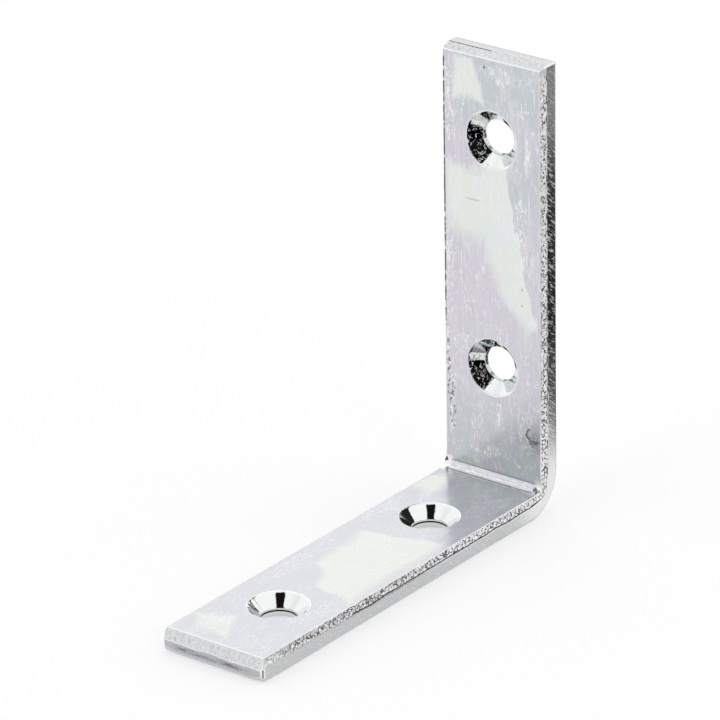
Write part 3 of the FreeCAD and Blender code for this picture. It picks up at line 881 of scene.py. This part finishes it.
def dress_smooth_cut():
    """Streaks over a painted reflection that changes up the bracket, painted highlights on the heel
    and the near corner, painted shade on the two ends, a scrape on the near end, and pale specks.
    """
    tree, place, shader = metal("zinc_smooth_cut")
    x, y, z = split(tree, place)
    slant = add(tree, "ShaderNodeVectorRotate",
                {"Vector": place, "Angle": math.radians(SCORE_SLANT)},
                rotation_type="X_AXIS").outputs[0]
    scores = cloud(tree, slant, (1.2, 1.8, 0.36), 4.0, 0.62)
    streaks = ramp(tree, scores, 0.5, 0.62)
    # a painted reflection of the dark room: pale low down, dark up the upright and grey near its
    # top
    painted_reflection = blend(tree, ramp(tree, z, *DARK_ABOVE), SMOOTH_PALE, SMOOTH_DARK)
    painted_reflection = blend(tree, ramp(tree, z, *GREY_ABOVE), painted_reflection, SMOOTH_GREY)
    clear = product(tree, ramp(tree, z, *STREAKS_END, 1.0, 0.12),
                    ramp(tree, z, 4.5, 12.0, 0.4, 1.0))
    # the slanted scores, real marks whose pale colour is partly a painted highlight of the light
    # they catch
    colour = blend(tree, product(tree, streaks, clear), painted_reflection, STREAK)
    # a painted highlight on the smooth band round the heel
    heel = product(tree, ramp(tree, y, *HEEL_BEYOND), ramp(tree, z, *HEEL_BELOW, 1.0, 0.0), 0.85)
    colour = blend(tree, heel, colour, HEEL_HIGHLIGHT)
    # painted shade on the top end's smooth band
    top = ramp(tree, z, *TOP_FACE)
    colour = blend(tree, product(tree, top, 0.85), colour, TOP_SHADE)
    # painted shade on the near end's smooth band
    near_end = ramp(tree, y, *NEAR_END_FACE, 1.0, 0.0)
    colour = blend(tree, product(tree, near_end, 0.45), colour, NEAR_END_SHADE)
    scrape = product(tree, ramp(tree, cloud(tree, place, (2.6, 1.0, 0.16), 4.0, 0.65), 0.44, 0.52),
                     close_to(tree, z, SCRAPE_HEIGHT, 0.15, 0.45, 0.75),
                     close_to(tree, x, SCRAPE_MIDDLE, 5.0, 8.0))
    colour = blend(tree, product(tree, near_end, scrape), colour, SCRAPE_TONE)
    pale = product(tree, masked(tree, speck_group, place, Size=0.36, Share=0.16),
                   ramp(tree, z, 6.0, 14.0, 0.3, 0.75))
    colour = blend(tree, pale, colour, SMOOTH_SPECK)
    colour = blend(tree, masked(tree, corner_highlight_group, place), colour, SMOOTH_CORNER_HIGHLIGHT)
    calm = product(tree, scores, maths(tree, "MULTIPLY_ADD", top, -0.85, 1.0))
    feed(tree, shader, {
        "Base Color": colour, "Normal": bump(tree, calm, SCORE_HEIGHT),
        "Roughness": ramp(tree, streaks, 0.0, 1.0, SMOOTH_ROUGHNESS, STREAK_ROUGHNESS)})


dress_smooth_cut()

# The torn band of the sheared edge, where the steel broke off: bright and pitted, with cracks
# between its scales, and calmer at the two ends of the strip. Its pits and cracks hold painted
# shade, and its top end painted shade as well.

TORN_PALE, TORN_END, TORN_TOP_SHADE = (0.96, 0.96, 0.965), (0.85, 0.87, 0.875), (0.765, 0.78, 0.79)
TORN_PIT_SHADE, TORN_CORNER_HIGHLIGHT = (0.07, 0.07, 0.075), (0.94, 0.93, 0.94)
SCALES_PER_MM = (1.1, 1.4, 1.3)
TORN_TOP_END, TORN_NEAR_END = (73.2, 73.6), (-36.7, -36.3)
MORE_CRACKS_BELOW, FEWER_PITS_BEFORE = (30.0, 48.0), (-37.0, -26.0)
CRUMB_HEIGHT = 0.12 * MM
TORN_ROUGHNESS = 0.42


def dress_torn_cut():
    """Painted shade in the cracks, dots and fine pits of a pale, rough metal."""
    tree, place, shader = metal("zinc_torn_cut")
    _, y, z = split(tree, place)
    crumbs = cloud(tree, place, (0.45, 0.5, 0.5), 4.0, 0.65, 0.4)
    scales = add(tree, "ShaderNodeTexVoronoi",
                 {"Vector": vectors(tree, "MULTIPLY", place, SCALES_PER_MM), "Scale": 1.0},
                 feature="DISTANCE_TO_EDGE").outputs["Distance"]
    at_top = ramp(tree, z, *TORN_TOP_END)
    at_end = strongest(tree, at_top, ramp(tree, y, *TORN_NEAR_END, 1.0, 0.0))
    away = outside(tree, at_end)
    cracked = maths(tree, "MULTIPLY_ADD", ramp(tree, z, *MORE_CRACKS_BELOW, 1.0, 0.0), 0.075,
                    crumbs)
    cracks = product(tree, ramp(tree, scales, 0.03, 0.15, 1.0, 0.0),
                     ramp(tree, cracked, 0.5, 0.58), away)
    dots = product(tree, masked(tree, speck_group, place, Size=0.42, Share=0.3), away)
    fine = product(tree, ramp(tree, cloud(tree, place, (0.3, 0.3, 0.3), 2.0, 0.6), 0.40, 0.5,
                              0.5, 0.0), maths(tree, "MULTIPLY_ADD", at_end, 0.7, 0.3))
    # painted shade in the pits, dots and cracks
    pit_shade = product(tree, strongest(tree, dots, cracks, fine),
                    ramp(tree, at_end, 0.0, 1.0, 0.95, 0.5),
                    ramp(tree, y, *FEWER_PITS_BEFORE, 0.5, 1.0))
    # painted shade on the top end's torn band
    pale = blend(tree, at_top, blend(tree, at_end, TORN_PALE, TORN_END), TORN_TOP_SHADE)
    colour = blend(tree, pit_shade, pale, TORN_PIT_SHADE)
    colour = blend(tree, masked(tree, corner_highlight_group, place), colour, TORN_CORNER_HIGHLIGHT)
    feed(tree, shader, {"Base Color": colour, "Roughness": TORN_ROUGHNESS,
                        "Normal": bump(tree, crumbs, CRUMB_HEIGHT)})


dress_torn_cut()

# The countersinks, turned bright in the steel and plated, with the plating's orange peel, which is
# coarse low on the left of the upright's two.

COARSE_SIDE = math.radians(200)
LAND_DEPTH = (1.93, 2.05)
LOW_RING_DEPTH = 2.36
PEEL_HEIGHT, CRACKLE_HEIGHT = 0.006 * MM, 0.036 * MM
MIRROR_ROUGHNESS = 0.045
CONE_TONE, LAND_TONE, RING_SHADE = (0.84, 0.87, 0.865), (0.62, 0.67, 0.68), (0.02, 0.02, 0.02)


def dress_countersinks():
    """A near mirror, duller on the land, with a ring of painted shade low in the base's two."""
    tree, place, shader = metal("zinc_countersink")
    x, y, z = split(tree, place)
    low_hole, high_hole = UPRIGHT_HOLES
    lift = maths(tree, "MULTIPLY_ADD", maths(tree, "GREATER_THAN", z, (low_hole + high_hole) / 2),
                 low_hole - high_hole, maths(tree, "SUBTRACT", z, low_hole))
    low_left = maths(tree, "ADD", product(tree, x, math.cos(COARSE_SIDE)),
                     product(tree, lift, math.sin(COARSE_SIDE)))
    coarse = product(tree, ramp(tree, low_left, 2.0, 2.6), ramp(tree, z, 6.0, 7.0))
    crackle = ramp(tree, cloud(tree, place, (0.5, 0.5, 0.5), 3.0, 0.6, 0.8), 0.58, 0.66)
    normal = bump(tree, cloud(tree, place, (0.42, 0.42, 0.42), 2.0, 0.5, 0.6), PEEL_HEIGHT)
    normal = bump(tree, crackle, CRACKLE_HEIGHT, normal, coarse)
    in_upright = product(tree, maths(tree, "GREATER_THAN", z, 5.5),
                         maths(tree, "SUBTRACT", y, HALF_BASE - THICKNESS))
    land = product(tree, ramp(tree, in_upright, *LAND_DEPTH), 0.85)
    colour = blend(tree, land, CONE_TONE, LAND_TONE)
    in_base = maths(tree, "SUBTRACT", THICKNESS, z)
    # painted shade: a dark ring low on the land of the base's holes
    colour = blend(tree, close_to(tree, in_base, LOW_RING_DEPTH, 0.1, 0.2), colour, RING_SHADE)
    feed(tree, shader, {"Base Color": colour, "Roughness": MIRROR_ROUGHNESS, "Normal": normal})


dress_countersinks()

# The fine burrs and the mouths' breaks, which are rubbed bright, and the open crack where the
# tear starts, which lets no light out. The bright finish also holds a painted highlight on the
# blank's corners, and the dark one painted shade down the middle of the base's end corners.

RUBBED_AND_HIGHLIGHT_TONE, SHADOW_TONE = (0.97, 0.97, 0.97), (0.1, 0.1, 0.11)
CRACK_AND_CORNER_SHADE_TONE = (0.06, 0.06, 0.065, 1)
RUBBED_ROUGHNESS, CRACK_ROUGHNESS = 0.32, 0.5


def dress_rubbed_edges_and_highlights():
    """Bright metal, rubbed, and a painted highlight on the corners, but for the dark line up the
    upright's left edge.
    """
    tree, place, shader = metal("zinc_rubbed_edge_and_corner_highlight")
    rubbed_and_highlight = blend(tree, masked(tree, shadow_group, place), RUBBED_AND_HIGHLIGHT_TONE, SHADOW_TONE)
    feed(tree, shader, {"Base Color": rubbed_and_highlight, "Roughness": RUBBED_ROUGHNESS})


def dress_crack_and_corner_shade():
    """Nearly black, as little light comes out of it: the crack's shade, and painted shade down the
    base's end corners.
    """
    tree, _, shader = metal("zinc_crack_and_corner_shade")
    feed(tree, shader, {"Base Color": CRACK_AND_CORNER_SHADE_TONE, "Roughness": CRACK_ROUGHNESS})


dress_rubbed_edges_and_highlights()
dress_crack_and_corner_shade()

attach(bracket, "root")
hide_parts("angle_bracket")

# The studio floor: white paper. In the metal alone it has a dark table behind the bracket and a
# dark strip before it, which make the black parts of the polished countersinks. Their borders are
# in millimetres from the bracket's middle, and a line is its slope and where it starts.

FLOOR_HALF = 6000
BORDER_SOFT = 2.0
BACK_STEP_X, BACK_STEP_Y = (0, 20), (47, 62)
BACK_LINE = (0.736, 36.0)
LEFT_LINES = ((-0.234, -10.0), (-1.143, 42.3))
BARE_LINE, BARE_SOFT = (1.22, 68.0), (-4.0, 6.0)
BARE_X = (-34, -27)
BARE_LEFT_Y, BARE_LEFT_END = (122, 134), (300, 360)
STRIP_X = (14, 18)
STRIP_BACK, STRIP_BACK_SLOPE = (14.5, 18.5), 0.3
STRIP_FRONT, STRIP_FRONT_SLOPE = (-14.0, -10.0), 0.9
GREY_NEAR_Y, GREY_FAR_Y, GREY_TONES = (148, 162), (190, 220), (0.07, 0.45)
GREY_X, GREY_Y = (-6, 2), (30, 45)
PAPER = (0.95, 0.95, 0.95)

floor_mesh = bpy.data.meshes.new("floor")
floor_mesh.from_pydata([(x * FLOOR_HALF * MM, y * FLOOR_HALF * MM, 0)
                        for x, y in ((-1, -1), (1, -1), (1, 1), (-1, 1))], [], [(0, 1, 2, 3)])
floor = bpy.data.objects.new("floor", floor_mesh)
bpy.context.scene.collection.objects.link(floor)


def line(tree, value, slope_and_start):
    """Where a straight line is at a value."""
    return maths(tree, "MULTIPLY_ADD", value, *slope_and_start)


def past(tree, value, border):
    """A mask of what lies beyond a border."""
    return ramp(tree, maths(tree, "SUBTRACT", value, border), -BORDER_SOFT, BORDER_SOFT)


def floor_tone(tree):
    """The floor's colour in the metal: white paper with the dark table edge and the strip."""
    x, y, _ = split(tree, in_millimetres(tree))
    back_edge = strongest(tree, ramp(tree, x, *BACK_STEP_X, *BACK_STEP_Y), line(tree, x, BACK_LINE))
    left_edge = maths(tree, "MINIMUM", *[line(tree, y, each) for each in LEFT_LINES])
    bare_edge = line(tree, maths(tree, "MAXIMUM", x, 0.0), BARE_LINE)
    bare_right = product(tree, ramp(tree, x, *BARE_X),
                         ramp(tree, maths(tree, "SUBTRACT", y, bare_edge), *BARE_SOFT))
    bare_left = product(tree, ramp(tree, x, *BARE_X, 1.0, 0.0), ramp(tree, y, *BARE_LEFT_Y),
                        ramp(tree, y, *BARE_LEFT_END, 1.0, 0.0))
    table = product(tree, past(tree, y, back_edge), past(tree, x, left_edge),
                    outside(tree, strongest(tree, bare_right, bare_left)))
    strip = product(
        tree, ramp(tree, x, *STRIP_X),
        ramp(tree, maths(tree, "MULTIPLY_ADD", x, STRIP_BACK_SLOPE, y), *STRIP_BACK, 1.0, 0.0),
        ramp(tree, maths(tree, "MULTIPLY_ADD", x, STRIP_FRONT_SLOPE, y), *STRIP_FRONT))
    grey = product(tree, ramp(tree, y, *GREY_NEAR_Y, *GREY_TONES),
                   ramp(tree, y, *GREY_FAR_Y, 1.0, 0.03),
                   ramp(tree, x, *GREY_X), ramp(tree, y, *GREY_Y))
    dark = add(tree, "ShaderNodeCombineColor", {0: grey, 1: grey, 2: grey}).outputs[0]
    return blend(tree, strongest(tree, table, strip), PAPER, dark)


paper = bpy.data.materials.new("floor_white")
paper.use_nodes = True
tree = paper.node_tree
tree.nodes.clear()
tone = floor_tone(tree)
matt = add(tree, "ShaderNodeBsdfDiffuse", {"Color": (0.5, 0.5, 0.5, 1)})
glow = add(tree, "ShaderNodeEmission", {"Color": (1, 1, 1, 1), "Strength": 0.56})
lit = add(tree, "ShaderNodeAddShader", {0: matt.outputs[0], 1: glow.outputs[0]})
matt_seen = add(tree, "ShaderNodeBsdfDiffuse", {"Color": tone})
glow_seen = add(tree, "ShaderNodeEmission", {"Color": tone, "Strength": 0.98})
seen = add(tree, "ShaderNodeMixShader", {0: 0.5, 1: matt_seen.outputs[0], 2: glow_seen.outputs[0]})
path = add(tree, "ShaderNodeLightPath")
both = add(tree, "ShaderNodeMixShader", {0: path.outputs["Is Camera Ray"], 1: seen.outputs[0],
                                         2: lit.outputs[0]})
add(tree, "ShaderNodeOutputMaterial", {"Surface": both.outputs[0]})
floor_mesh.materials.append(paper)

# The studio's light: a white tent all round, lit from outside. Its dark opening towards the camera,
# a grey seam, a stand and the room behind the table show only in the metal. Each is where it is
# round the tent and up it, half as large as it is, and how soft its border is, all in degrees.

OPENING = ((26.5, 29.5, 3), (25, 45, 3))
SEAM = ((-40, 26, 12), (22, 24, 12))
STAND = ((161, 11, 4), (42, 10, 4))
BEHIND_TABLE = ((-144, 7, 2), (4, 8, 3))
SEAM_STRENGTH, STAND_STRENGTH = 0.2, 0.7
TENT_WHITE, SEAM_GREY = (1, 1, 1), (0.1, 0.1, 0.1)
ROOM_DARK, OPENING_DARK = (0.02, 0.02, 0.02), (0.008, 0.007, 0.007)
LIGHT_LEVEL = 1.06

world = bpy.data.worlds.new("tent")
bpy.context.scene.world = world
world.use_nodes = True
tree = world.node_tree
tree.nodes.clear()
way_x, way_y, way_z = split(tree, add(tree, "ShaderNodeTexCoord").outputs["Generated"])
round_tent = maths(tree, "ARCTAN2", way_x, product(tree, way_y, -1.0))
up_tent = maths(tree, "ARCSINE", way_z)


def window(spans):
    """A mask of a part of the tent."""
    return product(tree, *[
        close_to(tree, value, math.radians(middle), math.radians(half - soft),
                 math.radians(half + soft))
        for value, (middle, half, soft) in zip((round_tent, up_tent), spans)])


tent = blend(tree, product(tree, window(SEAM), SEAM_STRENGTH), TENT_WHITE, SEAM_GREY)
tent = blend(tree, product(tree, window(STAND), STAND_STRENGTH), tent, ROOM_DARK)
tent = blend(tree, window(BEHIND_TABLE), tent, ROOM_DARK)
tent = blend(tree, window(OPENING), tent, OPENING_DARK)
ray = add(tree, "ShaderNodeLightPath")
background = blend(tree, ray.outputs["Is Camera Ray"], tent, TENT_WHITE)
light = add(tree, "ShaderNodeBackground", {"Color": background, "Strength": LIGHT_LEVEL})
add(tree, "ShaderNodeOutputWorld", {"Surface": light.outputs[0]})

# The camera: it stands high on the right before the bracket, as the photograph's did, with a long
# lens. Its place is in metres, and its turn about x, y and z in degrees.

CAMERA_PLACE = (0.451124, -0.585192, 0.362179)
CAMERA_TURN = (66.20665, 0.93332, 37.23851)
SENSOR_WIDTH = 36
LENS = 267.7
SEEN_DEPTH = 20

camera_data = bpy.data.cameras.new("camera")
camera = bpy.data.objects.new("camera", camera_data)
bpy.context.scene.collection.objects.link(camera)
camera_data.sensor_width = SENSOR_WIDTH
camera_data.lens = LENS
camera_data.clip_end = SEEN_DEPTH
camera.location = CAMERA_PLACE
camera.rotation_euler = [math.radians(angle) for angle in CAMERA_TURN]
bpy.context.scene.camera = camera
bpy.context.scene.view_settings.view_transform = "Standard"
